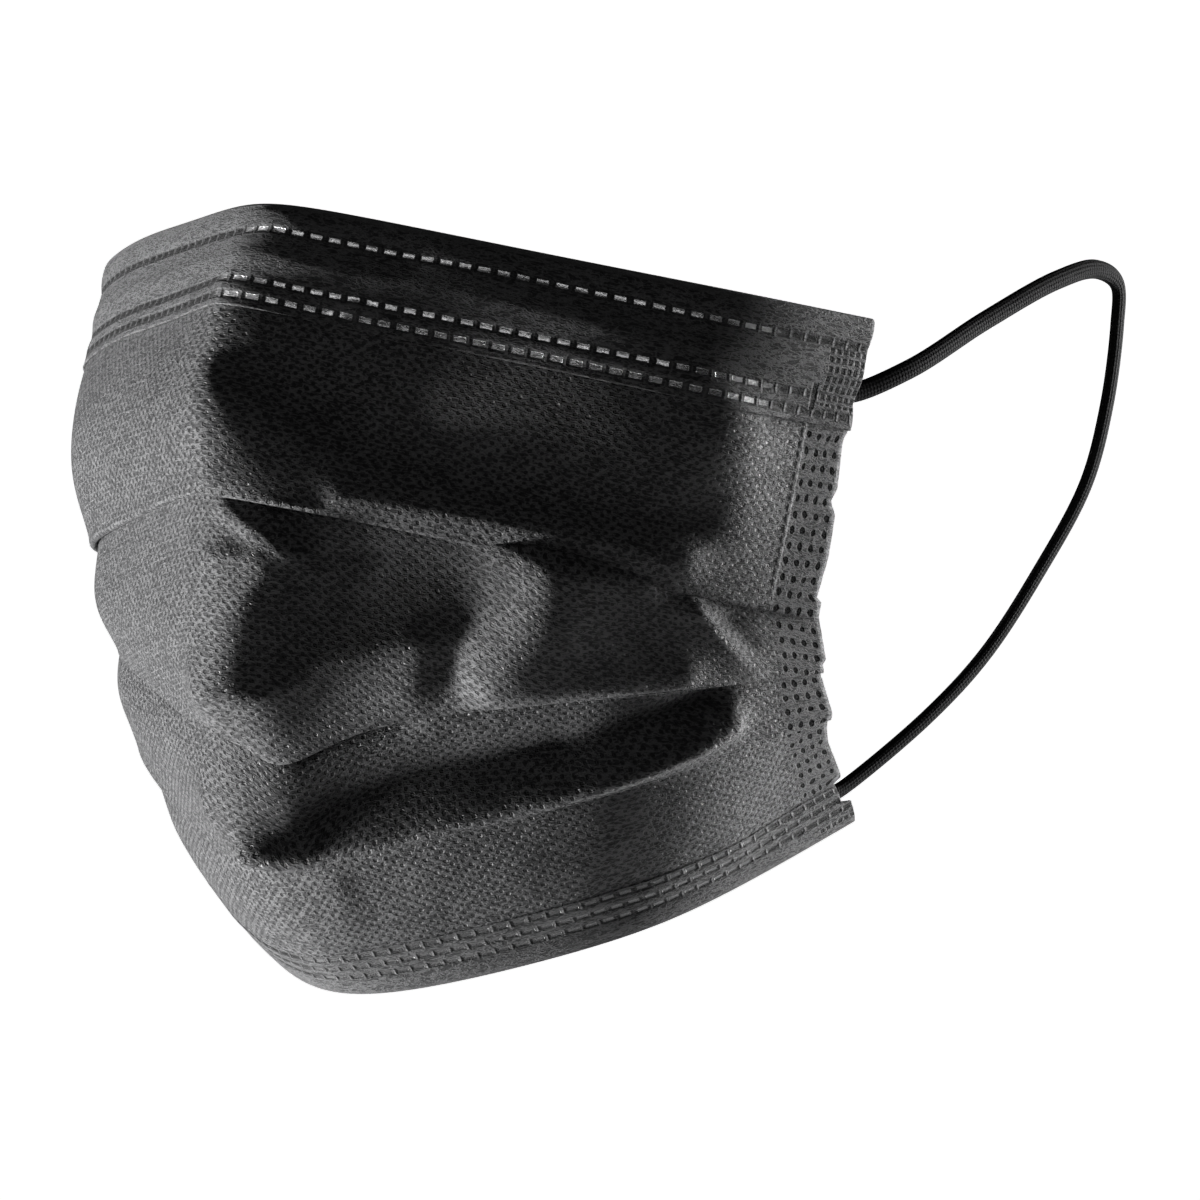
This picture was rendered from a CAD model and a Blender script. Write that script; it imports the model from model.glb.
"""Disposable pleated face mask in its worn form, dressed for rendering.

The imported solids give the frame. The cloth is built here as a thin folded sheet over the same lines that
shape the solids, and the hems and ear loops as thinner pieces in the places of the solid ones. Each gets its
finish, and a plain studio goes round them.

Sizes are in millimetres until a mesh is made. s runs along the cloth from the nose ridge, plus to the
wearer's left. The cloth between two folds is a panel, and t is the share of the way down a panel.
"""

import logging
import math
from dataclasses import dataclass, field
from enum import Enum
from functools import reduce
from typing import Sequence

import bpy
import numpy as np
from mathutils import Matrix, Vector


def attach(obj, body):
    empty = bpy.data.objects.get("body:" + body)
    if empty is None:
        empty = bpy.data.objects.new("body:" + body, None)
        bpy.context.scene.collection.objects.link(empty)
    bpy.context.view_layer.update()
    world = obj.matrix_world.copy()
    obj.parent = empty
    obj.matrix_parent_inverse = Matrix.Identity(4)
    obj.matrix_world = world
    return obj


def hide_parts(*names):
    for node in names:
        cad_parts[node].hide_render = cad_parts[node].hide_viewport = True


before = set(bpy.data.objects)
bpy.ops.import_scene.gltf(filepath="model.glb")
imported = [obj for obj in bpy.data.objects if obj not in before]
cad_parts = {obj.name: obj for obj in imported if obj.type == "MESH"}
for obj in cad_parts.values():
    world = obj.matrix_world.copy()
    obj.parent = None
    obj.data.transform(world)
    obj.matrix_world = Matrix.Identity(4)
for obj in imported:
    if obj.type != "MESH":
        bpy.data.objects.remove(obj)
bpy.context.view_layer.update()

log = logging.getLogger("mask")

Array = np.ndarray
Point = tuple[float, float, float]
Color = tuple[float, float, float]
Span = tuple[float, float]
Socket = bpy.types.NodeSocket

MM = 0.001
TINY = 1e-6
TWO_PI = 2 * math.pi
UV_MAP = "cloth"

# ---- cloth ----
CLOTH_HALF = 92.5  # from the nose ridge to a side edge, along the cloth
SEAM_WIDTH = 8.8
FLAT_FROM = 66.0  # the fullness fades from here ...
FLAT_AT = 86.0  # ... to here, where the weld presses the cloth flat
WELD_FULLNESS = 0.05  # the share of it that is left there
PLY = 0.3
TUCK = 2.2  # how far up behind a fold the next panel starts ...
LIP_AND_GROOVE = 1.15  # ... and how far behind it
FOLD_DEPTH = 4.5  # how far up behind a fold its own cloth runs before it turns back
FOLD_RADIUS = 0.28

# ---- hems ----
TOP_HEM_DEPTH = 15.0
BOTTOM_HEM_DEPTH = 9.0
HEM_BACK = 3.5  # how far a hem runs in over the inner face
HEM_PLY = 0.26

# ---- ear loops ----
BAND_WIDTH = 2.8
BAND_THICK = 1.6
LOOP_TOP_DROP = 9.8  # how far below the top edge the upper weld is ...
LOOP_BOTTOM_RISE = 5.6  # ... and how far above the bottom edge the lower one
WELD_LENGTH = 6.0  # how far in from the side edge a weld reaches


class Side(Enum):
    """The wearer's left or right; the value is the sign of s there."""

    LEFT = 1
    RIGHT = -1


@dataclass(frozen=True)
class Line:
    """One of the lines that carry the shape, from the nose ridge along a flank to the cheek and the side.

    front is y at the ridge, and ridge, cheek and side are heights. flank and back are plan angles in degrees,
    bend is the flank's length, nose the radius of the ridge, and half the length of half the line.
    """

    front: float
    ridge: float
    cheek: float
    side: float
    flank: float
    back: float
    bend: float
    nose: float
    half: float


LINES: tuple[Line, ...] = (
    Line(front=-2.0, ridge=0, cheek=-13.5, side=-17.5, flank=29, back=81, bend=69.5, nose=10, half=92.5),
    Line(front=-15.7, ridge=-38, cheek=-51.5, side=-57.5, flank=33, back=77, bend=63.5, nose=6.5, half=92.5),
    Line(front=-11.5, ridge=-71.5, cheek=-64.7, side=-63.9, flank=35, back=78, bend=64, nose=8, half=92),
    Line(front=-4.0, ridge=-90.5, cheek=-75, side=-68.5, flank=33, back=77, bend=58, nose=15, half=91),
    Line(front=12.5, ridge=-110, cheek=-94.5, side=-80, flank=36, back=79, bend=51, nose=19, half=88.5),
)


@dataclass(frozen=True)
class Panel:
    """The cloth between two lines.

    bulge is how far it bellies out, and peak how far down it is fullest. drawn is the share of the belly that
    the wearer's left side lacks, and rows is how many rows of points the panel has.
    """

    bulge: float
    peak: float
    drawn: float
    rows: int


PANELS: tuple[Panel, ...] = (
    Panel(bulge=3.8, peak=0.62, drawn=0.45, rows=62),
    Panel(bulge=2.0, peak=0.55, drawn=0.8, rows=54),
    Panel(bulge=1.8, peak=0.45, drawn=0.9, rows=32),
    Panel(bulge=2.6, peak=0.5, drawn=0.4, rows=38),
)


class Edge(Enum):
    """The top or bottom edge of the cloth; the value is the panel there."""

    TOP = 0
    BOTTOM = len(PANELS) - 1


@dataclass(frozen=True)
class Sag:
    """A stretch where a line hangs lower (minus) or sits higher (plus), with its reach to each side."""

    line: int
    s: float
    reach_back: float
    reach_on: float
    lift: float


SAGS: tuple[Sag, ...] = (
    Sag(line=0, s=-45, reach_back=20, reach_on=20, lift=1.1),
    Sag(line=1, s=34, reach_back=22, reach_on=24, lift=0.6),
    Sag(line=2, s=3.8, reach_back=8.3, reach_on=13.6, lift=-5.7),
    Sag(line=2, s=2.3, reach_back=9.6, reach_on=5, lift=4.5),
)


@dataclass(frozen=True)
class Fold:
    """A fold (plus) or hollow (minus) pressed into a panel along a path of places (s, t).

    above and below are its reaches to the left and right of the path as it runs, soft is the radius of its
    crest, and fades the share of its height gone at its end.
    """

    panel: int
    path: tuple[tuple[float, float], ...]
    above: float
    below: float
    height: float
    soft: float = 2.0
    fades: float = 0.0


FOLDS: tuple[Fold, ...] = (
    # The crease down the nose, through three panels.
    Fold(panel=0, path=((5, 0.05), (-1.5, 0.2), (-1.5, 0.42), (-0.5, 0.6), (1, 0.96)),
         above=10, below=6, height=2.2, soft=0.5),
    Fold(panel=1, path=((8.5, 0.3), (4.5, 0.5), (2.5, 0.66), (1.5, 0.78)),
         above=9, below=7, height=2.6, soft=0.8, fades=0.2),
    Fold(panel=2, path=((-5, 0.62), (-3.5, 0.88)), above=8, below=6, height=2.4, soft=0.5),
    # The upper panel: its rolled top edge, a slanting swell, a tick by the nose, two hollows and its rolled
    # lower edge.
    Fold(panel=0, path=((27, 0.08), (84, 0.06)), above=4, below=5, height=0.6, soft=1.5),
    Fold(panel=0, path=((34, 0.12), (50, 0.2), (64, 0.31), (73, 0.44)), above=6, below=16, height=2.0),
    Fold(panel=0, path=((10, 0.47), (17, 0.3)), above=1.5, below=1.5, height=0.5, soft=0.3),
    Fold(panel=0, path=((2, 0.56), (12, 0.64), (26, 0.74), (42, 0.79), (68, 0.77)),
         above=10, below=6, height=-2.4, soft=1.5),
    Fold(panel=0, path=((17, 0.6), (19, 0.97)), above=20, below=13, height=-1.4),
    Fold(panel=0, path=((20, 0.96), (32, 0.94), (44, 0.925), (68, 0.91)),
         above=4.5, below=3.5, height=2.2, soft=0.8),
    # The crumple over the nose.
    Fold(panel=1, path=((2.5, 0.1), (11, 0.19), (13.5, 0.24)), above=2.6, below=2.8, height=1.7, soft=0.3),
    Fold(panel=1, path=((1, 0.29), (8, 0.255), (11, 0.22)), above=1.4, below=3.0, height=0.8, soft=0.4),
    Fold(panel=1, path=((3, 0.19), (5, 0.21)), above=2.4, below=2.4, height=-0.6, soft=1.0),
    Fold(panel=1, path=((10.5, 0.09), (15, 0.14)), above=1.6, below=2.6, height=-1.1, soft=0.6),
    Fold(panel=1, path=((12.5, 0.3), (13.5, 0.36)), above=1.5, below=1.5, height=-0.6, soft=0.4),
    Fold(panel=1, path=((13.5, 0.265), (25, 0.21)), above=0.8, below=1.6, height=-0.5, soft=0.2),
    # The middle of the second panel: its upper edge, a slanting crest, a short swell and a groove past its
    # end, a broad swell with a hollow to each side, then the rolled lower edge.
    Fold(panel=1, path=((20, 0.07), (62, 0.07)), above=2, below=6.5, height=1.7, soft=0.8),
    Fold(panel=1, path=((0, 0.84), (13, 0.7), (23, 0.66), (30.5, 0.62)),
         above=5.5, below=9, height=3.8, soft=0.4, fades=0.6),
    Fold(panel=1, path=((31, 0.68), (28, 0.86)), above=4, below=9, height=1.3, soft=1.0),
    Fold(panel=1, path=((33.5, 0.76), (35, 0.92)), above=3, below=3.5, height=-1.2, soft=1.5),
    Fold(panel=1, path=((50, 0.1), (47, 0.45), (41, 0.84)),
         above=12, below=10, height=5.6, soft=3.5, fades=0.2),
    Fold(panel=1, path=((37, 0.12), (36.5, 0.4), (34, 0.58)), above=5, below=12, height=-1.4),
    Fold(panel=1, path=((55, 0.2), (60, 0.5), (64, 0.8)), above=6, below=8, height=-1.0),
    Fold(panel=1, path=((40, 0.94), (67, 0.94)), above=5, below=2.5, height=2.0, soft=1.0),
    # The crumple at the cheek.
    Fold(panel=1, path=((70, 0.3), (73, 0.5), (79, 0.88)), above=3.5, below=3, height=2.2, soft=0.5),
    Fold(panel=1, path=((76.5, 0.42), (79, 0.58)), above=3, below=2.5, height=-2.0, soft=0.8),
    # The third panel: its upper edge, a long hollow, the rolled crest under it, and the folds at its corner.
    Fold(panel=2, path=((12, 0.14), (26, 0.14)), above=1.0, below=1.2, height=-0.9, soft=0.3),
    Fold(panel=2, path=((30, 0.1), (62, 0.08)), above=1.5, below=5, height=1.3, soft=0.5),
    Fold(panel=2,
         path=((-1, 0.8), (12, 0.7), (22, 0.62), (30, 0.57), (38, 0.56), (50, 0.57), (62, 0.5), (72, 0.4)),
         above=5, below=4, height=-3.2, soft=1.0),
    Fold(panel=2, path=((0, 0.86), (6, 0.93), (12, 0.97), (26, 0.99), (47, 0.96), (60, 0.86), (74, 0.67)),
         above=4.5, below=2.5, height=4.6, soft=0.4),
    Fold(panel=2, path=((0, 0.74), (2, 0.97)), above=15, below=5, height=2.2, soft=0.8),
    Fold(panel=2, path=((13, 0.72), (30, 0.64), (47, 0.6)), above=4, below=6, height=-1.6, soft=0.8),
    # The lower panel: one small puff.
    Fold(panel=3, path=((10.5, 0.12), (11, 0.3)), above=3, below=5, height=0.5, soft=0.8),
)


@dataclass(frozen=True)
class Trim:
    """How far the side edge is drawn in at a height below the nose bridge."""

    below: float
    inward: float


SIDE_EDGE: tuple[Trim, ...] = (
    Trim(below=16, inward=0),
    Trim(below=20.5, inward=0.6),
    Trim(below=27.3, inward=1.4),
    Trim(below=29.5, inward=0.8),
    Trim(below=30.5, inward=0.8),
    Trim(below=32, inward=1.5),
    Trim(below=38.7, inward=0.9),
    Trim(below=40.5, inward=1.75),
    Trim(below=42.1, inward=0.4),
    Trim(below=48, inward=0.2),
    Trim(below=53.6, inward=0.9),
    Trim(below=53.9, inward=-0.1),
    Trim(below=62.4, inward=0),
    Trim(below=63.2, inward=0.8),
    Trim(below=70.5, inward=-0.3),
    Trim(below=72.6, inward=0.8),
    Trim(below=74.8, inward=1.3),
    Trim(below=80.4, inward=0.7),
    Trim(below=80.9, inward=2.4),
    Trim(below=84.2, inward=2.1),
    Trim(below=84.6, inward=0.4),
    Trim(below=88, inward=0.7),
)

# The ear loop on the wearer's left, from the top of the seam round behind the ear to the bottom: x, y, z.
LOOP_PATH: tuple[Point, ...] = (
    (65.2, 58, -22.4),
    (66.5, 75, -16.2),
    (68, 91, -11),
    (68.5, 100.5, -9.8),
    (68.5, 106, -12.2),
    (68.5, 106, -18),
    (68, 104, -30),
    (66, 101.8, -41),
    (62, 95.7, -53.5),
    (58, 88, -65),
    (54.5, 78.5, -73.5),
)


def bell(offset: Array, reach: float | Array) -> Array:
    """A bell of height one."""
    return np.exp(-((offset / reach) ** 2))


def ease(value: Array, start: float, end: float) -> Array:
    """A step that starts and ends level."""
    share = np.clip((value - start) / (end - start), 0, 1)
    return share * share * (3 - 2 * share)


def unit(vectors: Array) -> Array:
    """Vectors scaled to length one, along the last axis."""
    return vectors / np.linalg.norm(vectors, axis=-1, keepdims=True)


def between(first: Sequence[float], second: Sequence[float], share: float) -> tuple[float, ...]:
    """The place at a share of the way from one to the other."""
    return tuple((1 - share) * a + share * b for a, b in zip(first, second))


def rounded(path: Sequence[tuple[float, ...]]) -> Sequence[tuple[float, ...]]:
    """Cuts the corners of a path twice over.

    Args:
        path: The places that it runs through.

    Returns:
        The places of the rounder path, with the same two ends.
    """
    for _ in range(2):
        cut = [path[0]]
        for start, end in zip(path, path[1:]):
            cut += [between(start, end, 0.25), between(start, end, 0.75)]
        path = [*cut, path[-1]]
    return path


def travelled(points: Array) -> Array:
    """How far each point lies down its column, along the way through the rows above it."""
    steps = np.linalg.norm(np.diff(points, axis=0), axis=-1)
    return np.concatenate([np.zeros((1, points.shape[1])), np.cumsum(steps, axis=0)])


def smooth_path(knots: Array, steps: int, dense: int = 60) -> Array:
    """Lays a centripetal curve through the knots.

    Args:
        knots: The points that it passes through.
        steps: How many points are wanted.
        dense: How many points are worked out between two knots first.

    Returns:
        Evenly spaced points along the curve, both ends included.
    """
    padded = np.vstack([2 * knots[0] - knots[1], knots, 2 * knots[-1] - knots[-2]])
    stretches = []
    for a, b, c, d in zip(padded, padded[1:], padded[2:], padded[3:]):
        t0 = 0.0
        t1 = t0 + np.linalg.norm(b - a) ** 0.5
        t2 = t1 + np.linalg.norm(c - b) ** 0.5
        t3 = t2 + np.linalg.norm(d - c) ** 0.5
        t = np.linspace(t1, t2, dense, endpoint=False)[:, None]
        ab = (t1 - t) / (t1 - t0) * a + (t - t0) / (t1 - t0) * b
        bc = (t2 - t) / (t2 - t1) * b + (t - t1) / (t2 - t1) * c
        cd = (t3 - t) / (t3 - t2) * c + (t - t2) / (t3 - t2) * d
        abc = (t2 - t) / (t2 - t0) * ab + (t - t0) / (t2 - t0) * bc
        bcd = (t3 - t) / (t3 - t1) * bc + (t - t1) / (t3 - t1) * cd
        stretches.append((t2 - t) / (t2 - t1) * abc + (t - t1) / (t2 - t1) * bcd)
    curve = np.vstack([*stretches, knots[-1:]])
    gone = travelled(curve[:, None])[:, 0]
    wanted = np.linspace(0, gone[-1], steps)
    return np.stack([np.interp(wanted, gone, curve[:, axis]) for axis in range(3)], axis=-1)


def carried(tangents: Array, first: Array) -> Array:
    """Carries a direction along a path without turning it about the path.

    Args:
        tangents: The way the path runs at each of its points.
        first: The direction at the start.

    Returns:
        The direction at each point, square to the path.
    """
    face, faces = first, []
    for tangent in tangents:
        face = face - tangent * face.dot(tangent)
        face = face / np.linalg.norm(face)
        faces.append(face)
    return np.array(faces)


@dataclass(frozen=True)
class Ripple:
    """A faint wave over the cloth: its height, and radians for each millimetre along and down."""

    height: float
    along: float
    down: float


@dataclass(frozen=True)
class Form:
    """The shape of the worn cloth: points on it from s along the cloth and t down a panel.

    A panel stands off the straight line between its ends by its belly, its folds and two faint ripples, and
    all of that fades where the weld presses the cloth flat. The belly is less where the panel is shorter than
    full_length, and it is drawn in over the first drawn_over to the wearer's left. The ripples shift from
    each panel to the next. The powers shape the belly, the ends of the folds and the flanks of a fold.
    """

    bend_softness: float = 6.0
    tangent_step: float = 0.5
    full_length: float = 14.0
    drawn_over: float = 16.0
    belly_power: float = 1.3
    crossed: Ripple = Ripple(height=0.09, along=0.23, down=0.31)
    slanting: Ripple = Ripple(height=0.04, along=0.47, down=0.36)
    shift_along: float = 1.7
    shift_down: float = 17.0
    ends_power: float = 0.3
    flank_slope: float = 1.6
    flank_power: float = 1.2
    least_reach: float = 0.5

    def line(self, index: int, s: Array) -> Array:
        """Finds points on one of the lines.

        Args:
            index: Which line, from the top.
            s: Places along the cloth.

        Returns:
            The points, one for each place.
        """
        row = LINES[index]
        along = np.abs(s) * row.half / CLOTH_HALF
        flank, back = math.radians(row.flank), math.radians(row.back)
        run = np.hypot(along, row.nose) - row.nose
        soft = self.bend_softness
        past = soft * (np.logaddexp(0, (along - row.bend) / soft) - math.log1p(math.exp(-row.bend / soft)))
        x = along * math.cos(flank) + past * (math.cos(back) - math.cos(flank))
        y = row.front + run * math.sin(flank) + past * (math.sin(back) - math.sin(flank))
        share, bend = run / CLOTH_HALF, row.bend / CLOTH_HALF
        cheek = (row.cheek - row.ridge) * share * (share - 1) / (bend * (bend - 1))
        side = (row.side - row.ridge) * share * (share - bend) / (1 - bend)
        return np.stack([np.sign(s) * x, y, row.ridge + cheek + side + self.lift(index, s)], axis=-1)

    @staticmethod
    def lift(index: int, s: Array) -> Array:
        """Adds up the sags of one of the lines.

        Args:
            index: Which line, from the top.
            s: Places along the cloth.

        Returns:
            How far the line is lifted at each place.
        """
        total = np.zeros_like(s)
        for sag in SAGS:
            if sag.line == index:
                total = total + sag.lift * bell(s - sag.s, np.where(s < sag.s, sag.reach_back, sag.reach_on))
        return total

    def panel(self, index: int, s: Array) -> tuple[Array, Array, Array, Array]:
        """Finds where a panel starts and ends, the upper end of a lower panel being tucked behind its fold.

        Args:
            index: Which panel, from the top.
            s: Places along the cloth.

        Returns:
            Its upper ends, its lower ends, its outward directions and its lengths.
        """
        upper, lower = self.line(index, s), self.line(index + 1, s)
        step = self.tangent_step
        ahead = self.line(index, s + step) + self.line(index + 1, s + step)
        behind = self.line(index, s - step) + self.line(index + 1, s - step)
        out = unit(np.cross(lower - upper, unit(ahead - behind)))
        if index > 0:
            above_upper, above_lower, above_out, _ = self.panel(index - 1, s)
            upper = upper + TUCK * unit(above_upper - above_lower) - LIP_AND_GROOVE * above_out
        return upper, lower, out, np.linalg.norm(lower - upper, axis=-1)

    def stand_off(self, index: int, s: Array, t: Array, length: Array) -> Array:
        """Works out how far the cloth stands off the straight line between its panel's ends.

        Args:
            index: Which panel, from the top.
            s: Places along the cloth.
            t: Places down the panel, as shares of its length.
            length: The panel's length at s.

        Returns:
            The distance, plus outwards.
        """
        panel = PANELS[index]
        skew = math.log(0.5) / math.log(panel.peak)
        inside = np.clip(t, 0, 1)
        belly = panel.bulge * np.sin(np.pi * inside**skew) ** self.belly_power
        belly = belly * np.minimum(1, length / self.full_length)
        belly = belly * (1 - panel.drawn * ease(s, 0, self.drawn_over))
        creases = self.folds(index, s, inside, length) + self.ripples(index, s, inside * length)
        fullness = 1 - (1 - WELD_FULLNESS) * ease(np.abs(s), FLAT_FROM, FLAT_AT)
        return fullness * (belly + creases * np.sin(np.pi * inside) ** self.ends_power)

    def ripples(self, index: int, s: Array, down: Array) -> Array:
        """Adds up the faint waves that run all over the cloth.

        Args:
            index: Which panel, from the top.
            s: Places along the cloth.
            down: Places down the panel, in millimetres.

        Returns:
            Their height.
        """
        down = down + self.shift_down * index
        wave, slant = self.crossed, self.slanting
        crossed = wave.height * np.sin(wave.along * s + self.shift_along * index) * np.sin(wave.down * down)
        return crossed + slant.height * np.sin(slant.along * s + slant.down * down)

    def folds(self, index: int, s: Array, t: Array, length: Array) -> Array:
        """Adds up a panel's folds and hollows.

        Args:
            index: Which panel, from the top.
            s: Places along the cloth.
            t: Places down the panel, as shares of its length.
            length: The panel's length at s.

        Returns:
            Their height.
        """
        total = np.zeros(np.broadcast_shapes(s.shape, t.shape))
        for fold in FOLDS:
            if fold.panel == index:
                total = total + self.fold(fold, s, t, length)
        return total

    def fold(self, fold: Fold, s: Array, t: Array, length: Array) -> Array:
        """Works out the height of one fold from how far off its rounded path a place lies.

        Args:
            fold: The fold.
            s: Places along the cloth.
            t: Places down the panel, as shares of its length.
            length: The panel's length at s.

        Returns:
            How far the fold lifts each place.
        """
        shape = np.broadcast_shapes(s.shape, t.shape)
        apart, side, done = np.full(shape, np.inf), np.ones(shape), np.zeros(shape)
        path = rounded(fold.path)
        for part, ((s0, t0), (s1, t1)) in enumerate(zip(path, path[1:])):
            run, drop = s1 - s0, (t1 - t0) * length
            reach = np.hypot(run, drop)
            u, v = s - s0, (t - t0) * length
            along = np.clip((u * run + v * drop) / reach**2, 0, 1)
            off = np.hypot(u - along * run, v - along * drop)
            nearer = off < apart
            side = np.where(nearer, (v * run - u * drop) / (reach * np.maximum(off, TINY)), side)
            done = np.where(nearer, (part + along) / (len(path) - 1), done)
            apart = np.minimum(off, apart)
        wide = (fold.above + fold.below + side * (fold.below - fold.above)) / 2
        crest = np.hypot(apart, fold.soft) - fold.soft
        flank = (crest / np.maximum(wide - fold.soft / 2, self.least_reach)) ** self.flank_power
        return fold.height * (1 - fold.fades * done) * np.exp(-self.flank_slope * flank)

    def cloth(self, index: int, s: Array, t: Array, off: float | Array = 0.0) -> Array:
        """Finds points on the cloth.

        Args:
            index: Which panel, from the top.
            s: Places along the cloth.
            t: Places down the panel, as shares of its length.
            off: How far outside the cloth's outer face the points lie.

        Returns:
            The points, one for each place.
        """
        upper, lower, out, length = self.panel(index, s)
        rise = self.stand_off(index, s, t, length) + off
        return upper + (lower - upper) * t[..., None] + out * rise[..., None]

    def from_edge(self, edge: Edge, s: Array, distance: float) -> Array:
        """The places t that lie a distance in from an edge of the cloth."""
        length = self.panel(edge.value, s)[3]
        return distance / length if edge is Edge.TOP else 1 - distance / length

    @staticmethod
    def trimmed(points: Array, s: Array) -> Array:
        """Draws in the ends of rows of points, more and more from the seam's inner line to the side edge.

        Args:
            points: The rows of points.
            s: The places of their columns along the cloth.

        Returns:
            The points, moved along their rows.
        """
        share = np.clip((np.abs(s) - CLOTH_HALF + SEAM_WIDTH) / SEAM_WIDTH, 0, None)
        below, inward = [trim.below for trim in SIDE_EDGE], [trim.inward for trim in SIDE_EDGE]
        drawn = np.sign(s) * np.interp(-points[..., 2], below, inward) * share
        return points - unit(np.gradient(points, axis=1)) * drawn[..., None]


FORM = Form()


@dataclass(frozen=True)
class Noise:
    """A cloudy pattern: its scale to a millimetre, how many finer layers it has and how strong they are."""

    scale: float
    detail: float = 2.0
    rough: float = 0.5


@dataclass(frozen=True)
class Strands:
    """A layer of fibres: the way they lie, in degrees, and how broad they look."""

    turn: float
    width: float = 0.05


STRAND_STRETCH = (0.32, 1.15, 1.0)
STRAND_CURL = Noise(scale=1.0, detail=2.5, rough=0.6)

# The Mix node's colour sockets, by number because each of its kinds of data uses the same names.
MIX_FIRST = 6
MIX_SECOND = 7
MIX_RESULT = 2


class Value:
    """A number socket with arithmetic, so that shader maths reads as maths."""

    def __init__(self, tree: "Tree", socket: Socket) -> None:
        """Wraps a socket of a tree."""
        self.tree = tree
        self.socket = socket

    def _math(self, operation: str, *terms: "Value | float") -> "Value":
        """One Math node on the terms."""
        node = self.tree.node("ShaderNodeMath", {"operation": operation}, dict(enumerate(terms)))
        return Value(self.tree, node.outputs[0])

    def __add__(self, other: "Value | float") -> "Value":
        """The sum."""
        return self._math("ADD", self, other)

    __radd__ = __add__

    def __mul__(self, other: "Value | float") -> "Value":
        """The product."""
        return self._math("MULTIPLY", self, other)

    __rmul__ = __mul__

    def __sub__(self, other: "Value | float") -> "Value":
        """The difference."""
        return self._math("SUBTRACT", self, other)

    def __rsub__(self, other: float) -> "Value":
        """The difference, taken from a number."""
        return self._math("SUBTRACT", other, self)

    def __truediv__(self, other: "Value | float") -> "Value":
        """The quotient."""
        return self._math("DIVIDE", self, other)

    def __rtruediv__(self, other: float) -> "Value":
        """The quotient, with a number divided."""
        return self._math("DIVIDE", other, self)

    def __abs__(self) -> "Value":
        """The value without its sign."""
        return self._math("ABSOLUTE", self)

    def sin(self) -> "Value":
        """The sine of the value in radians."""
        return self._math("SINE", self)

    def cos(self) -> "Value":
        """The cosine of the value in radians."""
        return self._math("COSINE", self)

    def fraction(self) -> "Value":
        """What is left past the whole number."""
        return self._math("FRACT", self)

    def least(self, other: "Value | float") -> "Value":
        """The lesser of two values."""
        return self._math("MINIMUM", self, other)

    def most(self, other: "Value | float") -> "Value":
        """The greater of two values."""
        return self._math("MAXIMUM", self, other)

    def fade(self, start: float, end: float) -> "Value":
        """Makes a mask with a smooth edge.

        Args:
            start: Where the mask is still zero.
            end: Where it has reached one, above or below start.

        Returns:
            The mask.
        """
        falling = end < start
        low, high = (end, start) if falling else (start, end)
        reach = {"From Min": low, "From Max": high, "To Min": float(falling), "To Max": float(not falling)}
        node = self.tree.node(
            "ShaderNodeMapRange", {"interpolation_type": "SMOOTHSTEP"}, {"Value": self, **reach}
        )
        return Value(self.tree, node.outputs[0])


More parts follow.
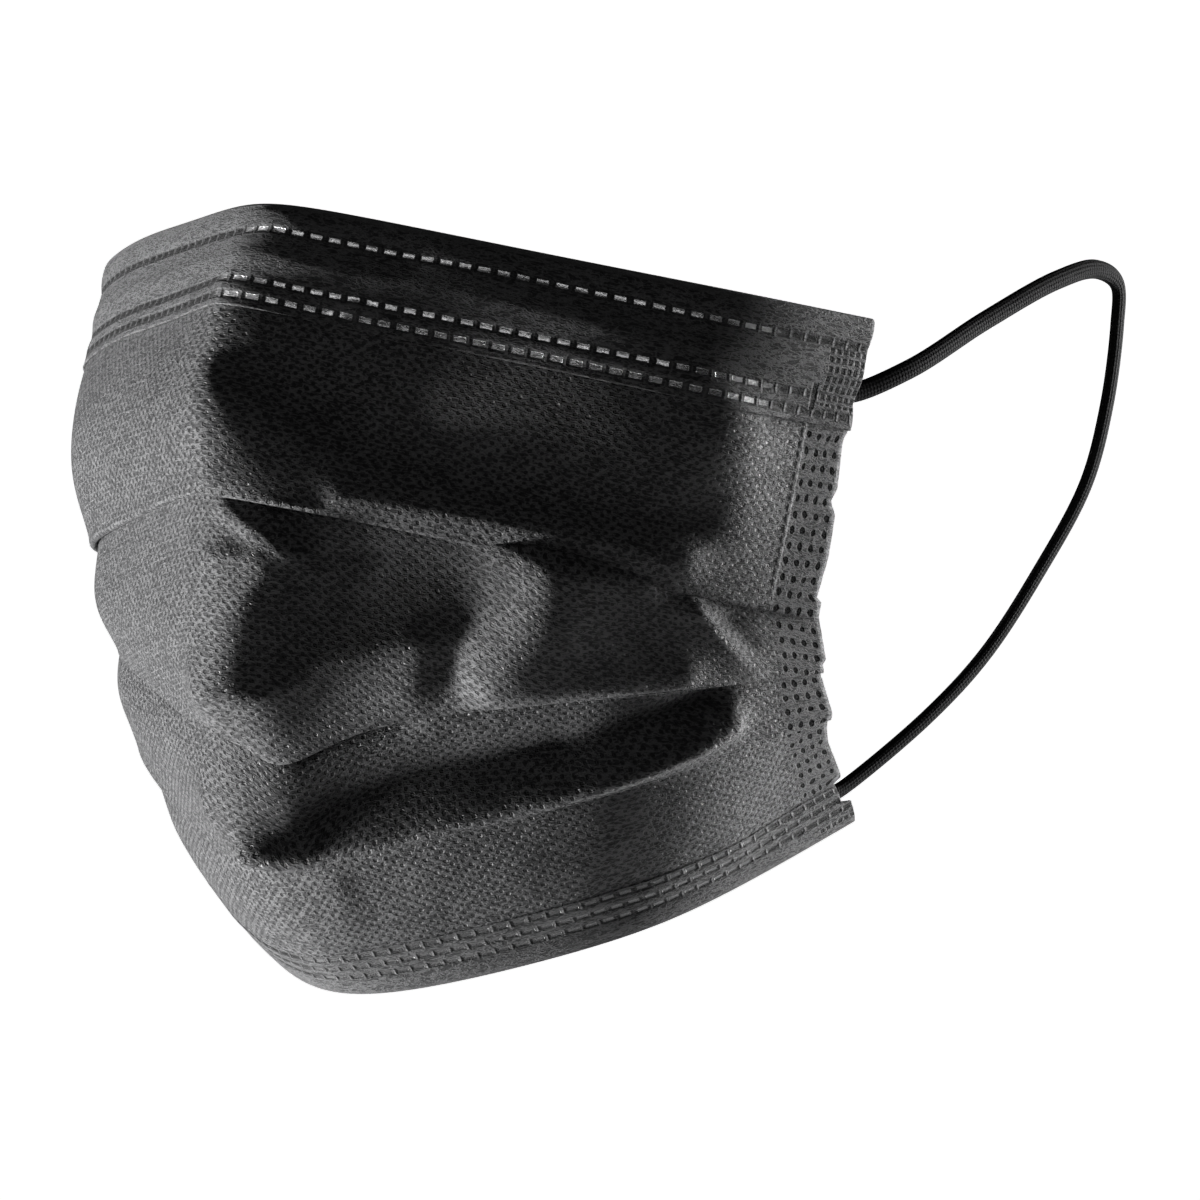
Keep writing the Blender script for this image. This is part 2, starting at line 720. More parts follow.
class Tree:
    """A material's node tree, with the few nodes that the finishes share."""

    def __init__(self, name: str) -> None:
        """Starts a material with the principled shader."""
        self.material = bpy.data.materials.new(name)
        self.material.use_nodes = True
        self.links = self.material.node_tree.links
        self.nodes = self.material.node_tree.nodes
        self.shader = self.nodes["Principled BSDF"]

    def node(
        self,
        kind: str,
        settings: dict[str, object] | None = None,
        inputs: dict[str | int, object] | None = None,
    ) -> bpy.types.Node:
        """Makes a node.

        Args:
            kind: The node's type.
            settings: Its properties, set before its inputs.
            inputs: Its inputs by name or number: numbers, sockets or Values.

        Returns:
            The new node.
        """
        node = self.nodes.new(kind)
        for key, value in (settings or {}).items():
            setattr(node, key, value)
        for key, value in (inputs or {}).items():
            self.feed(node.inputs[key], value)
        return node

    def feed(self, socket: Socket, value: object) -> None:
        """Links or sets one input.

        Args:
            socket: The input.
            value: The Value or socket to link to it, or what it is set to.
        """
        if isinstance(value, Value):
            value = value.socket
        if isinstance(value, Socket):
            self.links.new(value, socket)
        else:
            socket.default_value = value

    def place(self) -> tuple[Value, Value, Socket]:
        """Reads the piece's own UV map.

        Returns:
            The place along and across in millimetres, and both as one vector.
        """
        source = self.node("ShaderNodeUVMap", {"uv_map": UV_MAP})
        parts = self.node("ShaderNodeSeparateXYZ", inputs={0: source.outputs[0]})
        return Value(self, parts.outputs[0]), Value(self, parts.outputs[1]), source.outputs[0]

    def noise(self, vector: Socket, kind: Noise) -> Value:
        """Cloudy noise about one half."""
        inputs = {"Vector": vector, "Scale": kind.scale, "Detail": kind.detail, "Roughness": kind.rough}
        return Value(self, self.node("ShaderNodeTexNoise", inputs=inputs).outputs[0])

    def strands(self, vector: Socket, layers: Sequence[Strands]) -> Value:
        """Draws fine, long, slightly curled fibres.

        Args:
            vector: The place in millimetres.
            layers: The layers of fibres, each lying mostly one way.

        Returns:
            A mask of the fibres.
        """
        masks = []
        for layer in layers:
            laid = {"Vector": vector, "Scale": STRAND_STRETCH, "Rotation": (0, 0, math.radians(layer.turn))}
            curled = self.noise(self.node("ShaderNodeMapping", inputs=laid).outputs[0], STRAND_CURL)
            masks.append(abs(curled - 0.5).fade(layer.width, 0.0))
        return reduce(Value.most, masks)

    def mix(self, factor: Value, first: Color | Socket, second: Color) -> Socket:
        """Blends two colours.

        Args:
            factor: The share of the second.
            first: A colour, or a socket that gives one.
            second: A colour.

        Returns:
            The blend.
        """
        node = self.node("ShaderNodeMix", {"data_type": "RGBA"}, {"Factor": factor})
        self.feed(node.inputs[MIX_FIRST], first if isinstance(first, Socket) else (*first, 1.0))
        self.feed(node.inputs[MIX_SECOND], (*second, 1.0))
        return node.outputs[MIX_RESULT]

    def bump(self, height: Value, distance: float) -> Socket:
        """A normal from a height; distance is how far a height of one stands, in metres."""
        inputs = {"Height": height, "Distance": distance, "Strength": 1.0}
        return self.node("ShaderNodeBump", inputs=inputs).outputs[0]

    def steady(self, **values: object) -> None:
        """Sets the shader's uniform inputs."""
        for key, value in values.items():
            self.shader.inputs[key.replace("_", " ")].default_value = value

    def vary(self, **values: object) -> None:
        """Links the shader's varying inputs."""
        for key, value in values.items():
            self.feed(self.shader.inputs[key.replace("_", " ")], value)


@dataclass(frozen=True)
class Cloth:
    """Spunbond cloth with staggered bond points, pressed flat and pricked with a grid of welds at the sides.

    A fade is a pair of values, where a mask is zero and where it is one. Other pairs are along and down the
    cloth. A rise stands out and a dip is pressed in, as shares of the relief, which alone is in metres.
    """

    dark: Color = (0.009, 0.009, 0.0095)
    light: Color = (0.04, 0.04, 0.042)
    strand: Color = (0.11, 0.11, 0.112)
    pressed: Color = (0.005, 0.005, 0.0054)
    seam: Color = (0.07, 0.07, 0.072)
    hollow: Color = (0.001, 0.001, 0.001)
    wander: Noise = Noise(0.35)
    ragged: Noise = Noise(2.6, detail=3.0)
    grain: Noise = Noise(3.4, detail=4.0, rough=0.7)
    patch: Noise = Noise(0.06, detail=3.0)
    strands: tuple[Strands, ...] = (Strands(55), Strands(-50), Strands(15, width=0.03))
    pitch: Span = (1.72, 1.49)
    strays: Span = (0.5, 0.4)
    point_ragged: float = 0.3
    point_fade: Span = (0.3, 0.7)
    point_shows: float = 0.5
    weld_from: float = CLOTH_HALF - SEAM_WIDTH
    weld_blur: float = 0.2
    weld_pitch: Span = (2.05, 2.2)
    weld_strays: Span = (0.9, 1.1)
    weld_ragged: float = 0.06
    weld_fade: Span = (0.075, 0.03)
    line_fade: Span = (0.6, 0.1)
    line_end_fade: Span = (42.0, 37.0)
    patch_share: float = 0.4
    tone_fade: Span = (0.3, 0.7)
    seam_from: float = 0.35
    seam_gain: float = 2.0
    strand_rise: float = 0.35
    grain_rise: float = 0.6
    lattice_dip: float = 0.08
    point_dip: float = 0.7
    weld_dip: float = 3.0
    line_rise: float = 1.2
    relief: float = 0.00024
    rough: float = 0.68
    point_gloss: float = 0.25
    strand_gloss: float = 0.15
    weld_rough: float = 0.3
    sheen: float = 0.05
    sheen_rough: float = 0.5
    specular: float = 0.22

    def material(self) -> bpy.types.Material:
        """Builds the finish.

        Returns:
            The material.
        """
        tree = Tree("outer_cloth")
        u, v, uv = tree.place()
        wander = tree.noise(uv, self.wander) - 0.5
        ragged = tree.noise(uv, self.ragged) - 0.5
        grain, patch = tree.noise(uv, self.grain), tree.noise(uv, self.patch)
        strands = tree.strands(uv, self.strands)

        seam = abs(u).fade(self.weld_from - self.weld_blur, self.weld_from + self.weld_blur)
        plain = 1.0 - seam
        waves_along = ((u + wander * self.strays[0]) * (TWO_PI / self.pitch[0])).cos()
        waves_down = ((v + wander * self.strays[1]) * (TWO_PI / self.pitch[1])).cos()
        lattice = waves_along * waves_down
        point = (lattice + ragged * self.point_ragged).fade(*self.point_fade) * plain

        past = abs(u) - self.weld_from
        along = ((past + wander * self.weld_strays[0]) / self.weld_pitch[0]).fraction() - 0.5
        down = ((v + wander * self.weld_strays[1]) / self.weld_pitch[1]).fraction() - 0.5
        weld = (along * along + down * down + ragged * self.weld_ragged).fade(*self.weld_fade) * seam
        line = abs(past + self.weld_blur).fade(*self.line_fade) * v.fade(*self.line_end_fade)

        tone = (grain + patch * self.patch_share - self.patch_share / 2).fade(*self.tone_fade)
        speckled = tree.mix(tone, self.dark, self.light)
        hairy = tree.mix(strands * (1.0 - point), speckled, self.strand)
        marked = tree.mix(point * self.point_shows, hairy, self.pressed)
        fuzz = ((grain - self.seam_from) * self.seam_gain * seam).most(line).least(1.0)
        stands = strands * self.strand_rise + grain * self.grain_rise + line * self.line_rise
        pressed = lattice * plain * self.lattice_dip + point * self.point_dip + weld * self.weld_dip
        gloss = point * self.point_gloss + strands * self.strand_gloss
        tree.vary(
            Base_Color=tree.mix(weld, tree.mix(fuzz, marked, self.seam), self.hollow),
            Metallic=weld,
            Roughness=self.rough - gloss + weld * self.weld_rough,
            Normal=tree.bump(stands - pressed, self.relief),
        )
        tree.steady(
            Sheen_Weight=self.sheen, Sheen_Roughness=self.sheen_rough, Specular_IOR_Level=self.specular
        )
        return tree.material


@dataclass(frozen=True)
class DashRow:
    """A row of weld dashes: its distance from the edge and where along it starts, as a share of the pitch."""

    distance: float
    phase: float


TOP_ROWS = (DashRow(3.5, 0.0), DashRow(11.0, 0.35), DashRow(13.4, 0.55))
BOTTOM_ROWS = (DashRow(4.0, 0.1), DashRow(6.1, 0.4), DashRow(8.2, 0.7))


@dataclass(frozen=True)
class HemCloth:
    """Smooth, fuzzy cloth with rows of weld dashes, shiny on the wearer's left, and small welds at each end.

    Fades, other pairs and the relief are given as for the cloth. The dashes lie in wider pockets, whose reach
    and floor are measured out from a dash's own half length and height.
    """

    name: str
    rows: tuple[DashRow, ...]
    dark: Color = (0.008, 0.008, 0.0085)
    light: Color = (0.033, 0.033, 0.0345)
    strand: Color = (0.1, 0.1, 0.102)
    film: Color = (0.95, 0.95, 0.96)
    hollow: Color = (0.001, 0.001, 0.001)
    ragged: Noise = Noise(2.6, detail=3.0)
    grain: Noise = Noise(3.0, detail=4.0, rough=0.7)
    patch: Noise = Noise(0.12, detail=3.0)
    strands: tuple[Strands, ...] = (Strands(50), Strands(-35), Strands(95, width=0.04))
    strays: float = 0.3
    pitch: float = 2.67
    dash_half: float = 0.84
    dash_high: float = 0.38
    dash_blur: Span = (0.06, 0.05)
    pocket_reach: Span = (0.55, 0.4)
    pocket_floor: Span = (0.1, 0.0)
    shiny_start_fade: Span = (-4.0, 5.0)
    shiny_end_fade: Span = (78.0, 66.0)
    block_from: float = CLOTH_HALF - 7.6
    block_top: float = 4.2
    block_bottom: float = 12.4
    block_blur: float = 0.2
    block_pitch: float = 1.3
    hole_ragged: float = 0.2
    hole_fade: Span = (0.36, 0.24)
    slot_at: Span = (83.6, 11.2)
    slot_wide_fade: Span = (0.6, 0.35)
    slot_high_fade: Span = (2.0, 1.6)
    edge_fade: Span = (0.45, 0.1)
    edge_shows: float = 0.6
    patch_share: float = 0.5
    tone_fade: Span = (0.3, 0.7)
    pocket_bare: float = 0.7
    dash_dark: float = 0.9
    dash_metal: float = 0.85
    strand_rise: float = 0.4
    grain_rise: float = 0.6
    dash_flat: float = 0.9
    pocket_dip: float = 1.4
    hole_dip: float = 2.4
    slot_dip: float = 3.0
    relief: float = 0.00026
    rough: float = 0.7
    grain_rough: float = 0.06
    dash_gloss: float = 0.4
    strand_gloss: float = 0.15
    sheen: float = 0.07
    sheen_rough: float = 0.5
    specular: float = 0.25

    def dashes(self, u: Value, v: Value, ragged: Value) -> tuple[Value, Value]:
        """Draws the rows of dashes.

        Args:
            u: The place along the hem.
            v: The place in from the edge.
            ragged: How far an outline strays there.

        Returns:
            Masks of the dashes and of the wider pockets that they are pressed into.
        """
        dashes, pockets = [], []
        half, high = self.dash_half, self.dash_high
        for row in self.rows:
            along = abs(((u / self.pitch + row.phase).fraction() - 0.5) * self.pitch + ragged)
            across = abs(v - row.distance + ragged)
            ends = along.fade(half + self.dash_blur[0], half - self.dash_blur[0])
            dashes.append(ends * across.fade(high + self.dash_blur[1], high - self.dash_blur[1]))
            ends = along.fade(half + self.pocket_reach[0], half + self.pocket_floor[0])
            pockets.append(ends * across.fade(high + self.pocket_reach[1], high + self.pocket_floor[1]))
        return reduce(Value.most, dashes), reduce(Value.most, pockets)

    def welds(self, u: Value, v: Value, ragged: Value) -> tuple[Value, Value, Value]:
        """Draws the small welds at each end of the hem.

        Args:
            u: The place along the hem.
            v: The place in from the edge.
            ragged: How far an outline strays there.

        Returns:
            Masks of the block that the welds lie in, of the welds, and of the slot beside them.
        """
        blur = self.block_blur
        inside = abs(u).fade(self.block_from - blur / 4, self.block_from + blur / 4)
        below = v.fade(self.block_top, self.block_top + blur)
        block = inside * below * v.fade(self.block_bottom, self.block_bottom - blur)
        along = ((abs(u) - self.block_from) / self.block_pitch).fraction() - 0.5
        across = (v / self.block_pitch).fraction() - 0.5
        uneven = ragged * self.hole_ragged
        narrow, low = (abs(part) + uneven for part in (along, across))
        hole = narrow.fade(*self.hole_fade) * low.fade(*self.hole_fade) * block
        wide = abs(abs(u) - self.slot_at[0] + ragged).fade(*self.slot_wide_fade)
        slot = wide * abs(v - self.slot_at[1] + ragged).fade(*self.slot_high_fade)
        return block, hole, slot

    def material(self) -> bpy.types.Material:
        """Builds the finish.

        Returns:
            The material.
        """
        tree = Tree(self.name)
        u, v, uv = tree.place()
        ragged = (tree.noise(uv, self.ragged) - 0.5) * self.strays
        grain, patch = tree.noise(uv, self.grain), tree.noise(uv, self.patch)
        strands = tree.strands(uv, self.strands)

        block, hole, slot = self.welds(u, v, ragged)
        dash, pocket = (mask * (1.0 - block) for mask in self.dashes(u, v, ragged))
        shiny = dash * u.fade(*self.shiny_start_fade) * abs(u).fade(*self.shiny_end_fade)
        deep = (dash * self.dash_dark * (1.0 - shiny)).most(hole).most(slot).least(1.0)

        tone = (grain + patch * self.patch_share - self.patch_share / 2).fade(*self.tone_fade)
        speckled = tree.mix(tone, self.dark, self.light)
        fuzz = strands.most(v.fade(*self.edge_fade) * self.edge_shows) * (1.0 - pocket * self.pocket_bare)
        hairy = tree.mix(fuzz, speckled, self.strand)
        stands = (strands * self.strand_rise + grain * self.grain_rise) * (1.0 - shiny * self.dash_flat)
        pressed = pocket * self.pocket_dip + hole * self.hole_dip + slot * self.slot_dip
        gloss = shiny * self.dash_gloss + strands * self.strand_gloss
        tree.vary(
            Base_Color=tree.mix(shiny, tree.mix(deep, hairy, self.hollow), self.film),
            Metallic=deep.most(shiny * self.dash_metal),
            Roughness=self.rough + grain * self.grain_rough - gloss,
            Normal=tree.bump(stands - pressed, self.relief),
        )
        tree.steady(
            Sheen_Weight=self.sheen, Sheen_Roughness=self.sheen_rough, Specular_IOR_Level=self.specular
        )
        return tree.material


@dataclass(frozen=True)
class Elastic:
    """Knitted elastic: fine ribs along the band, crossed by stitches."""

    color: Color = (0.007, 0.007, 0.0074)
    tones: Span = (0.5, 1.5)
    tone_fade: Span = (-0.7, 1.1)
    ribs: float = 14.0
    stitch: float = 0.55
    stitch_slant: float = 0.12
    fuzz: Noise = Noise(3.0, detail=4.0)
    rib_rise: float = 0.5
    stitch_rise: float = 0.35
    fuzz_rise: float = 0.5
    relief: float = 0.00007
    rough: float = 0.75
    fuzz_rough: float = 0.1
    specular: float = 0.08

    def material(self) -> bpy.types.Material:
        """Builds the finish.

        Returns:
            The material.
        """
        tree = Tree("elastic")
        u, v, uv = tree.place()
        rib = (v * (TWO_PI * self.ribs)).cos()
        stitch = ((u / self.stitch + rib * self.stitch_slant) * TWO_PI).sin()
        fuzz = tree.noise(uv, self.fuzz)
        height = rib * self.rib_rise + stitch * self.stitch_rise + fuzz * self.fuzz_rise
        dark, light = (tuple(channel * tone for channel in self.color) for tone in self.tones)
        tree.vary(
            Base_Color=tree.mix(height.fade(*self.tone_fade), dark, light),
            Roughness=self.rough + fuzz * self.fuzz_rough,
            Normal=tree.bump(height, self.relief),
        )
        tree.steady(Sheen_Weight=0.0, Specular_IOR_Level=self.specular)
        return tree.material


def shaped_grid(
    name: str, points: Array, places: Array, material: bpy.types.Material, thickness: float = 0.0
) -> bpy.types.Object:
    """Makes a sheet from rows of points.

    Args:
        name: The piece's name.
        points: Rows by columns by x, y, z, in millimetres.
        places: Rows by columns by along and across, in millimetres: the UV map.
        material: Its finish.
        thickness: How thick the sheet is made, inward, in millimetres.

    Returns:
        The piece, smooth shaded and with its thickness applied.
    """
    rows, columns = points.shape[:2]
    bpy.ops.object.select_all(action="DESELECT")
    bpy.ops.mesh.primitive_grid_add(x_subdivisions=columns - 1, y_subdivisions=rows - 1, size=1)
    piece = bpy.context.object
    piece.name = piece.data.name = name
    mesh = piece.data
    mesh.vertices.foreach_set("co", (points * MM).reshape(-1))
    corners = np.empty(len(mesh.loops), dtype=np.int32)
    mesh.loops.foreach_get("vertex_index", corners)
    while mesh.uv_layers:
        mesh.uv_layers.remove(mesh.uv_layers[0])
    flat = places.reshape(-1, 2)[corners].reshape(-1).astype(np.float32)
    mesh.uv_layers.new(name=UV_MAP).data.foreach_set("uv", flat)
    mesh.materials.clear()
    mesh.materials.append(material)
    mesh.update()
    bpy.ops.object.shade_smooth()
    if thickness > 0:
        solid = piece.modifiers.new("thickness", "SOLIDIFY")
        solid.thickness = thickness * MM
        solid.offset = -1
        solid.use_even_offset = False
        bpy.ops.object.modifier_apply(modifier=solid.name)
    return piece


@dataclass
class PleatedCloth:
    """The shell of the mask, side seams and all: one cloth folded three times.

    Each panel gets its own stretch of the UV map, spread mm long. The cloth hidden under its fold comes past
    the panel's length: the flap from flap_from, the groove from groove_from, the way back from return_to.
    """

    columns: int = 204
    spread: float = 60.0
    turn_rows: int = 8
    flap_rows: int = 6
    groove_turns: tuple[float, ...] = (0.6, 1.57, 2.5)
    return_rows: int = 4
    flap_from: float = 1.0
    groove_from: float = 6.0
    groove_share: float = 5.0
    return_to: float = 11.0
    finish: Cloth = field(default_factory=Cloth)

    def panel_rows(self, index: int, s: Array) -> list[tuple[Array, Array]]:
        """Lays the rows of points down one panel.

        Args:
            index: Which panel, from the top.
            s: Places along the cloth.

        Returns:
            For each row its points, and their places down the cloth.
        """
        length = FORM.panel(index, s)[3]
        start = self.spread * index
        if index == Edge.BOTTOM.value:
            start = start + (self.spread - length)
        shares = np.linspace(0, 1, PANELS[index].rows)
        return [(FORM.cloth(index, s, np.full_like(s, share)), start + share * length) for share in shares]

    def fold_rows(self, index: int, s: Array) -> list[tuple[Array, Array]]:
        """Lays the rows of points round the fold under a panel, up behind it and back down to the next panel.

        Args:
            index: Which panel, from the top.
            s: Places along the cloth.

        Returns:
            For each row its points, and their places down the cloth.
        """
        length = FORM.panel(index, s)[3]
        behind, end = 2 * FOLD_RADIUS, self.spread * index + length
        rows = []
        for turn in np.linspace(0, math.pi, self.turn_rows)[1:-1]:
            drop, back = FOLD_RADIUS * math.sin(turn), FOLD_RADIUS * (1 - math.cos(turn))
            rows.append((FORM.cloth(index, s, 1 + drop / length, -back), end + FOLD_RADIUS * turn))
        for height in np.linspace(0, FOLD_DEPTH, self.flap_rows):
            rows.append((FORM.cloth(index, s, 1 - height / length, -behind), end + self.flap_from + height))
        half = (LIP_AND_GROOVE - behind) / 2
        for turn in self.groove_turns:
            rise, back = half * math.sin(turn), half * (1 - math.cos(turn))
            points = FORM.cloth(index, s, 1 - (FOLD_DEPTH + rise) / length, -behind - back)
            rows.append((points, end + self.groove_from + turn / self.groove_share))
        for height in np.linspace(FOLD_DEPTH, TUCK, self.return_rows)[:-1]:
            points = FORM.cloth(index, s, 1 - height / length, -LIP_AND_GROOVE)
            rows.append((points, end + self.return_to - height))
        return rows

    def build(self) -> bpy.types.Object:
        """Makes the cloth and dresses it.

        Returns:
            The piece.
        """
        s = np.linspace(-CLOTH_HALF, CLOTH_HALF, self.columns + 1)
        rows = []
        for index in range(len(PANELS)):
            rows += self.panel_rows(index, s)
            if index < Edge.BOTTOM.value:
                rows += self.fold_rows(index, s)
        points = FORM.trimmed(np.stack([row[0] for row in rows]), s)
        downs = np.stack([row[1] for row in rows])
        places = np.stack([np.broadcast_to(s, points.shape[:2]), downs], axis=-1)
        piece = shaped_grid("mask_cloth", points, places, self.finish.material(), PLY)
        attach(piece, "root")
        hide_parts("pleated_body", "side_seam_left", "side_seam_right")
        return piece


@dataclass
class Hem:
    """A band folded over an edge, puffed between its rows of welds.

    stand is how far its face lies off the cloth, puff how far it swells where two rows are full_gap or more
    apart, sink how far it lies in past the last row, and wire the height of the ridge over a nose wire.
    """

    name: str
    node: str
    edge: Edge
    depth: float
    finish: HemCloth
    columns: int = 460
    overhang: float = 0.15
    stand: float = 0.42
    puff: float = 0.34
    puff_power: float = 0.8
    full_gap: float = 5.0
    sink: float = 0.06
    wire: float = 0.0
    wire_drop: float = 7.5
    wire_reach: float = 1.5
    turn_gap: float = 0.12
    face_rows: int = 44
    turn_rows: int = 12
    back_rows: int = 10

    def swell(self, distance: float) -> float:
        """Works out how far the face swells or sinks.

        Args:
            distance: How far in from the edge.

        Returns:
            The distance off the face's usual place.
        """
        welds = [row.distance for row in self.finish.rows]
        stops = [0.0, *welds, self.depth]
        before = max(stop for stop in stops if stop <= distance + TINY)
        after = min((stop for stop in stops if stop >= distance - TINY and stop > before), default=before + 1)
        share = (distance - before) / (after - before)
        if distance >= welds[-1]:
            return -self.sink * share
        width = min(1.0, (after - before) / self.full_gap)
        return self.puff * width * math.sin(math.pi * share) ** self.puff_power

    def section(self) -> list[Point]:
        """Draws the hem's section, from the inner face round the turn and over the outer face.

        Returns:
            Each row's distance in from the edge, how far off the cloth it lies and how far past the edge.
        """
        section = []
        for distance in np.linspace(self.depth, 0, self.face_rows):
            ridge = self.wire * math.exp(-(((distance - self.wire_drop) / self.wire_reach) ** 2))
            section.append((distance, self.stand + self.swell(distance) + ridge, 0.0))
        radius = (self.stand + PLY + HEM_PLY + self.turn_gap) / 2
        for turn in np.linspace(0, math.pi, self.turn_rows)[1:-1]:
            section.append((0.0, self.stand - radius * (1 - math.cos(turn)), radius * math.sin(turn)))
        for distance in np.linspace(0, HEM_BACK, self.back_rows):
            section.append((distance, self.stand - 2 * radius, 0.0))
        return section[::-1]

    def build(self) -> bpy.types.Object:
        """Makes the hem and dresses it.

        Returns:
            The piece.
        """
        half = CLOTH_HALF + self.overhang
        s = np.linspace(-half, half, self.columns + 1)
        upper, lower, _, _ = FORM.panel(self.edge.value, s)
        away = unit(upper - lower) * (1 if self.edge is Edge.TOP else -1)
        rows, gone = [], []
        for distance, off, past in self.section():
            t = FORM.from_edge(self.edge, s, distance)
            rows.append(FORM.cloth(self.edge.value, s, t, off) + away * past)
            gone.append(distance - past)
        points = FORM.trimmed(np.stack(rows), s)
        places = np.stack(np.broadcast_arrays(s[None, :], np.array(gone)[:, None]), axis=-1)
        piece = shaped_grid(self.name, points, places, self.finish.material(), HEM_PLY)
        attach(piece, "root")
        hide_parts(self.node)
        return piece


@dataclass
class EarLoop:
    """A flat knitted band from the top of a side seam round to the bottom."""

    side: Side
    finish: bpy.types.Material
    steps: int = 420
    around: int = 20
    edge_power: float = 0.8
    path_step: int = 6

    def weld(self, edge: Edge, distance: float) -> Array:
        """Lays the band's middle along the inner face of the seam, on the wearer's left.

        Args:
            edge: The edge of the cloth that the weld is near.
            distance: How far in from that edge it is.

        Returns:
            Three points, the last of them at the side edge.
        """
        s = np.array([CLOTH_HALF - WELD_LENGTH, CLOTH_HALF - WELD_LENGTH / 2, CLOTH_HALF])
        inward = -PLY - HEM_PLY - BAND_THICK / 2
        return FORM.cloth(edge.value, s, FORM.from_edge(edge, s, distance), inward)

    def path(self) -> Array:
        """Lays the band's middle from one weld round to the other, on the wearer's left.

        Returns:
            Evenly spaced points.
        """
        top, bottom = self.weld(Edge.TOP, LOOP_TOP_DROP), self.weld(Edge.BOTTOM, LOOP_BOTTOM_RISE)
        return smooth_path(np.vstack([top, LOOP_PATH, bottom[::-1]]), self.steps)

    def ring(self, path: Array) -> Array:
        """Lays rings of points round a path, with the band flat against the cloth at both ends.

        Args:
            path: The band's middle.

        Returns:
            A ring for each point of the path, its last point on its first.
        """
        side_edge = np.array([CLOTH_HALF])
        start_face, end_face = (FORM.panel(edge.value, side_edge)[2][0] for edge in Edge)
        tangents = unit(np.gradient(path, axis=0))
        faces = carried(tangents, start_face)
        last = tangents[-1]
        wanted = end_face - last * end_face.dot(last)
        miss = math.atan2(float(np.cross(faces[-1], wanted).dot(last)), float(faces[-1].dot(wanted)))
        turns = (miss * np.linspace(0, 1, len(path)))[:, None]
        face = faces * np.cos(turns) + np.cross(tangents, faces) * np.sin(turns)
        across = np.cross(tangents, face)
        angle = self.angles()
        wide = BAND_WIDTH / 2 * np.cos(angle)
        thick = BAND_THICK / 2 * np.sign(np.sin(angle)) * np.abs(np.sin(angle)) ** self.edge_power
        return path[:, None] + across[:, None] * wide[None, :, None] + face[:, None] * thick[None, :, None]

    def angles(self) -> Array:
        """The angles of a ring's points, the last a full turn past the first."""
        return np.linspace(0, TWO_PI, self.around + 1)

    @staticmethod
    def close() -> None:
        """Joins the active piece, a rolled sheet, along its seam and caps its two ends."""
        bpy.ops.object.mode_set(mode="EDIT")
        bpy.ops.mesh.select_all(action="SELECT")
        bpy.ops.mesh.remove_doubles(threshold=TINY)
        bpy.ops.mesh.select_all(action="DESELECT")
        bpy.ops.mesh.select_mode(type="EDGE")
        bpy.ops.mesh.select_non_manifold()
        bpy.ops.mesh.edge_face_add()
        bpy.ops.mesh.select_all(action="SELECT")
        bpy.ops.mesh.normals_make_consistent(inside=False)
        bpy.ops.object.mode_set(mode="OBJECT")

    def build(self) -> bpy.types.Object:
        """Makes the band and dresses it.

        Returns:
            The piece.
        """
        word, mirror = self.side.name.lower(), np.array([self.side.value, 1, 1])
        path = self.path()
        ring = self.ring(path) * mirror
        if self.side is Side.RIGHT:
            ring = ring[:, ::-1]
        gone = travelled(path[:, None])
        places = np.stack(np.broadcast_arrays(gone, (self.angles() / TWO_PI)[None, :]), axis=-1)
        piece = shaped_grid(f"elastic_{word}", ring, places, self.finish)
        self.close()
        path = path * mirror * MM
        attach(piece, "root")
        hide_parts(f"ear_loop_{word}")
        [tuple(point) for point in path[:: self.path_step]] + [tuple(path[-1])]
        log.info("%s: %.1f mm long", piece.name, gone[-1, 0])
        return piece


@dataclass
class Mask:
    """The whole mask."""

    wire_ridge: float = 0.25
    dull_film: Color = (0.14, 0.14, 0.142)

    def build(self) -> list[bpy.types.Object]:
        """Makes every piece, the ear loops first.

        Returns:
            The pieces.
        """
        elastic = Elastic().material()
        shiny = HemCloth("hem_cloth_top", TOP_ROWS)
        dull = HemCloth(
            "hem_cloth_bottom",
            BOTTOM_ROWS,
            film=self.dull_film,
            dash_high=0.3,
            block_top=1.5,
            block_bottom=3.0,
        )
        return [
            *(EarLoop(side, elastic).build() for side in Side),
            PleatedCloth().build(),
            Hem("hem_top", "top_hem", Edge.TOP, TOP_HEM_DEPTH, shiny, wire=self.wire_ridge).build(),
            Hem("hem_bottom", "bottom_hem", Edge.BOTTOM, BOTTOM_HEM_DEPTH, dull).build(),
        ]


@dataclass
class Camera:
    """The camera: to the wearer's left of straight ahead, a little above, with a long lens.

    Angles are in degrees, places in metres, and the lens and sensor in millimetres.
    """

    azimuth: float = 37.5
    elevation: float = 5.3
    distance: float = 0.85
    target: Point = (0.037, 0.0242, -0.0537)
    focal_length: float = 185.1
    sensor: float = 36.0
    near: float = 0.05

    def build(self) -> bpy.types.Object:
        """Places the camera and makes it the scene's.

        Returns:
            The camera.
        """
        around, up = math.radians(self.azimuth), math.radians(self.elevation)
        back = Vector((math.sin(around) * math.cos(up), -math.cos(around) * math.cos(up), math.sin(up)))
        data = bpy.data.cameras.new("camera")
        data.sensor_width = self.sensor
        data.lens = self.focal_length
        data.clip_start = self.near
        camera = bpy.data.objects.new("camera", data)
        bpy.context.scene.collection.objects.link(camera)
        camera.location = Vector(self.target) + back * self.distance
        camera.rotation_euler = back.to_track_quat("Z", "Y").to_euler()
        bpy.context.scene.camera = camera
        return camera


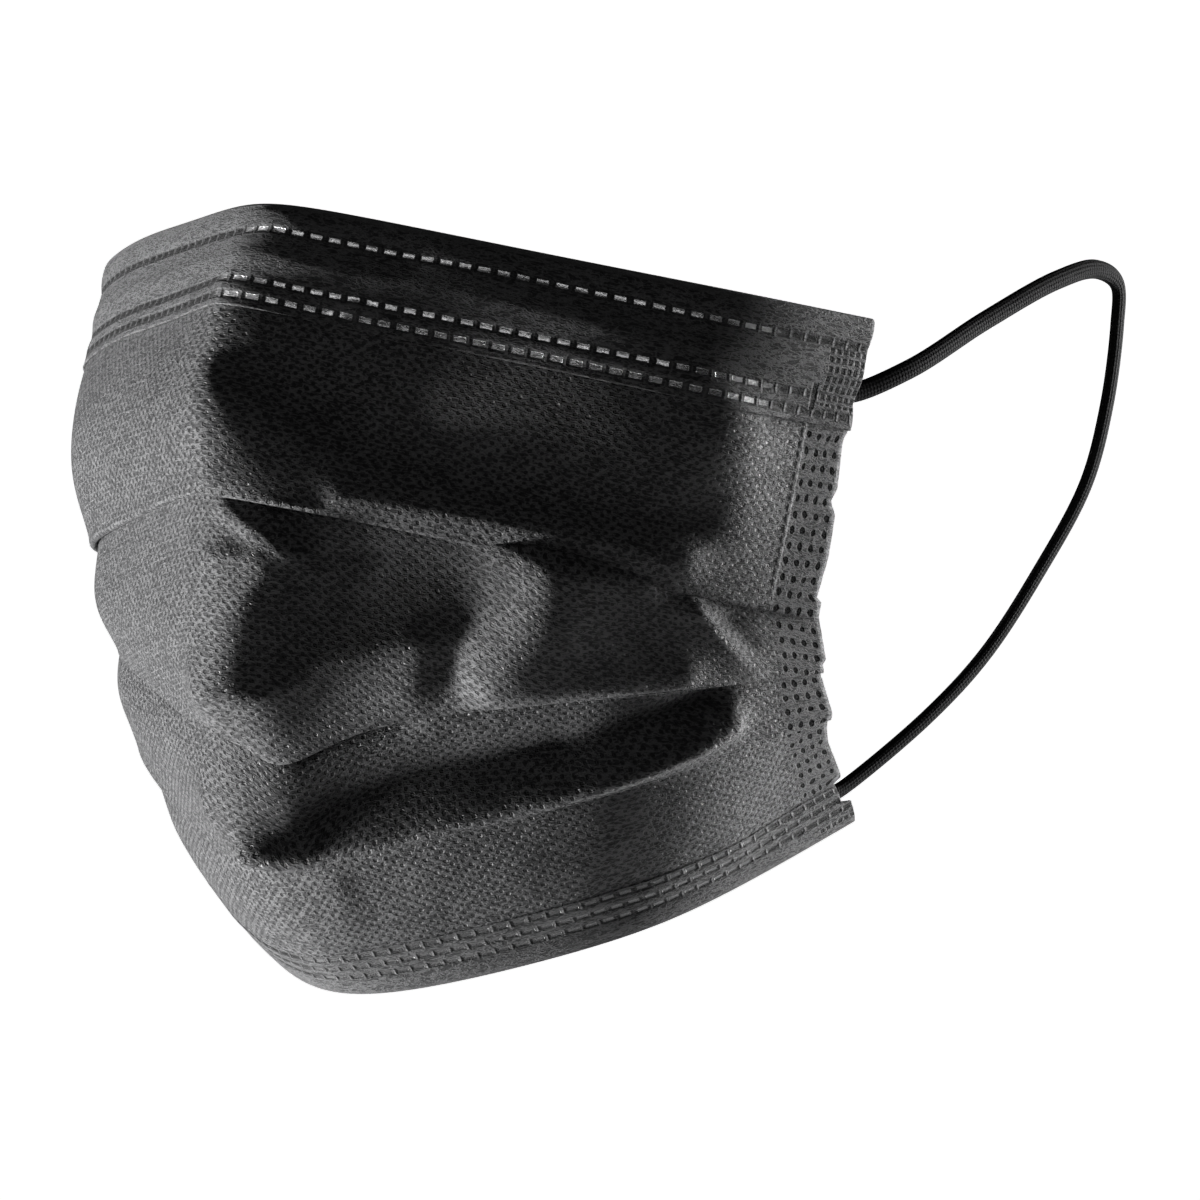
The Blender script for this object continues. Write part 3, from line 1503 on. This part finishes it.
@dataclass(frozen=True)
class SoftBox:
    """A rectangular studio light: its place and size in metres."""

    name: str
    place: Point
    size: Span
    watts: float
    aim: Point = (0.02, 0.02, -0.055)

    def build(self) -> bpy.types.Object:
        """Places the light.

        Returns:
            The light.
        """
        data = bpy.data.lights.new(self.name, "AREA")
        data.shape = "RECTANGLE"
        data.size, data.size_y = self.size
        data.energy = self.watts
        light = bpy.data.objects.new(self.name, data)
        bpy.context.scene.collection.objects.link(light)
        light.location = self.place
        light.rotation_euler = (Vector(self.place) - Vector(self.aim)).to_track_quat("Z", "Y").to_euler()
        return light


LIGHTS: tuple[SoftBox, ...] = (
    SoftBox("key_box", place=(-0.73, -0.53, -0.47), size=(0.15, 0.15), watts=38.0),
    SoftBox("right_box", place=(0.4, 0.98, -0.1), size=(0.5, 0.5), watts=26.0),
    SoftBox("front_card", place=(0.27, -0.84, 0.55), size=(1.5, 0.3), watts=1.1),
)


@dataclass
class Studio:
    """A pale dome all round that only the camera sees, a floor that only bounces light, and the lights."""

    floor_drop: float = 0.6
    floor_size: float = 2.4
    floor_grey: float = 0.5
    dome_radius: float = 4.0
    dome_grey: float = 0.9
    dome_glow: float = 1.0
    dome_segments: int = 64
    dome_rings: int = 32
    rough: float = 0.9
    world_grey: float = 0.004

    def build(self) -> None:
        """Makes the floor, the dome, the lights and the background."""
        floor, dome = self.floor(), self.dome()
        for light in LIGHTS:
            light.build()
        world = bpy.data.worlds.new("studio")
        world.use_nodes = True
        grey = self.world_grey
        world.node_tree.nodes["Background"].inputs["Color"].default_value = (grey, grey, grey, 1)
        bpy.context.scene.world = world
        bpy.context.scene.view_settings.view_transform = "Standard"

    def floor(self) -> bpy.types.Object:
        """Makes the floor.

        Returns:
            The floor.
        """
        bpy.ops.object.select_all(action="DESELECT")
        bpy.ops.mesh.primitive_plane_add(size=self.floor_size)
        floor = bpy.context.object
        floor.name = "studio_floor"
        floor.location = (0, 0, -self.floor_drop)
        floor.visible_camera = False
        floor.data.materials.append(self.matte(floor.name, self.floor_grey, 0.0))
        return floor

    def dome(self) -> bpy.types.Object:
        """Makes the dome.

        Returns:
            The dome.
        """
        bpy.ops.object.select_all(action="DESELECT")
        bpy.ops.mesh.primitive_uv_sphere_add(
            segments=self.dome_segments, ring_count=self.dome_rings, radius=self.dome_radius
        )
        dome = bpy.context.object
        dome.name = "studio_dome"
        dome.visible_diffuse = dome.visible_glossy = dome.visible_shadow = False
        dome.data.materials.append(self.matte(dome.name, self.dome_grey, self.dome_glow))
        return dome

    def matte(self, name: str, grey: float, glow: float) -> bpy.types.Material:
        """Builds a plain finish.

        Args:
            name: The material's name.
            grey: How light it is.
            glow: How strongly it gives light of its own.

        Returns:
            The material.
        """
        tree = Tree(name)
        tree.steady(
            Base_Color=(grey, grey, grey, 1),
            Roughness=self.rough,
            Emission_Color=(1, 1, 1, 1),
            Emission_Strength=glow,
        )
        return tree.material


def plain(box: Sequence[Sequence[float]]) -> list[list[float]]:
    """A box's corners as plain lists of numbers."""
    return [[float(number) for number in corner] for corner in box]


def main() -> None:
    """Builds the scene and notes its size against the solids."""
    logging.basicConfig(level=logging.INFO, format="%(name)s: %(message)s")
    Camera().build()
    for piece in Mask().build():
        log.info("%s: %d faces", piece.name, len(piece.data.polygons))
    Studio().build()


if __name__ == "__main__":
    main()
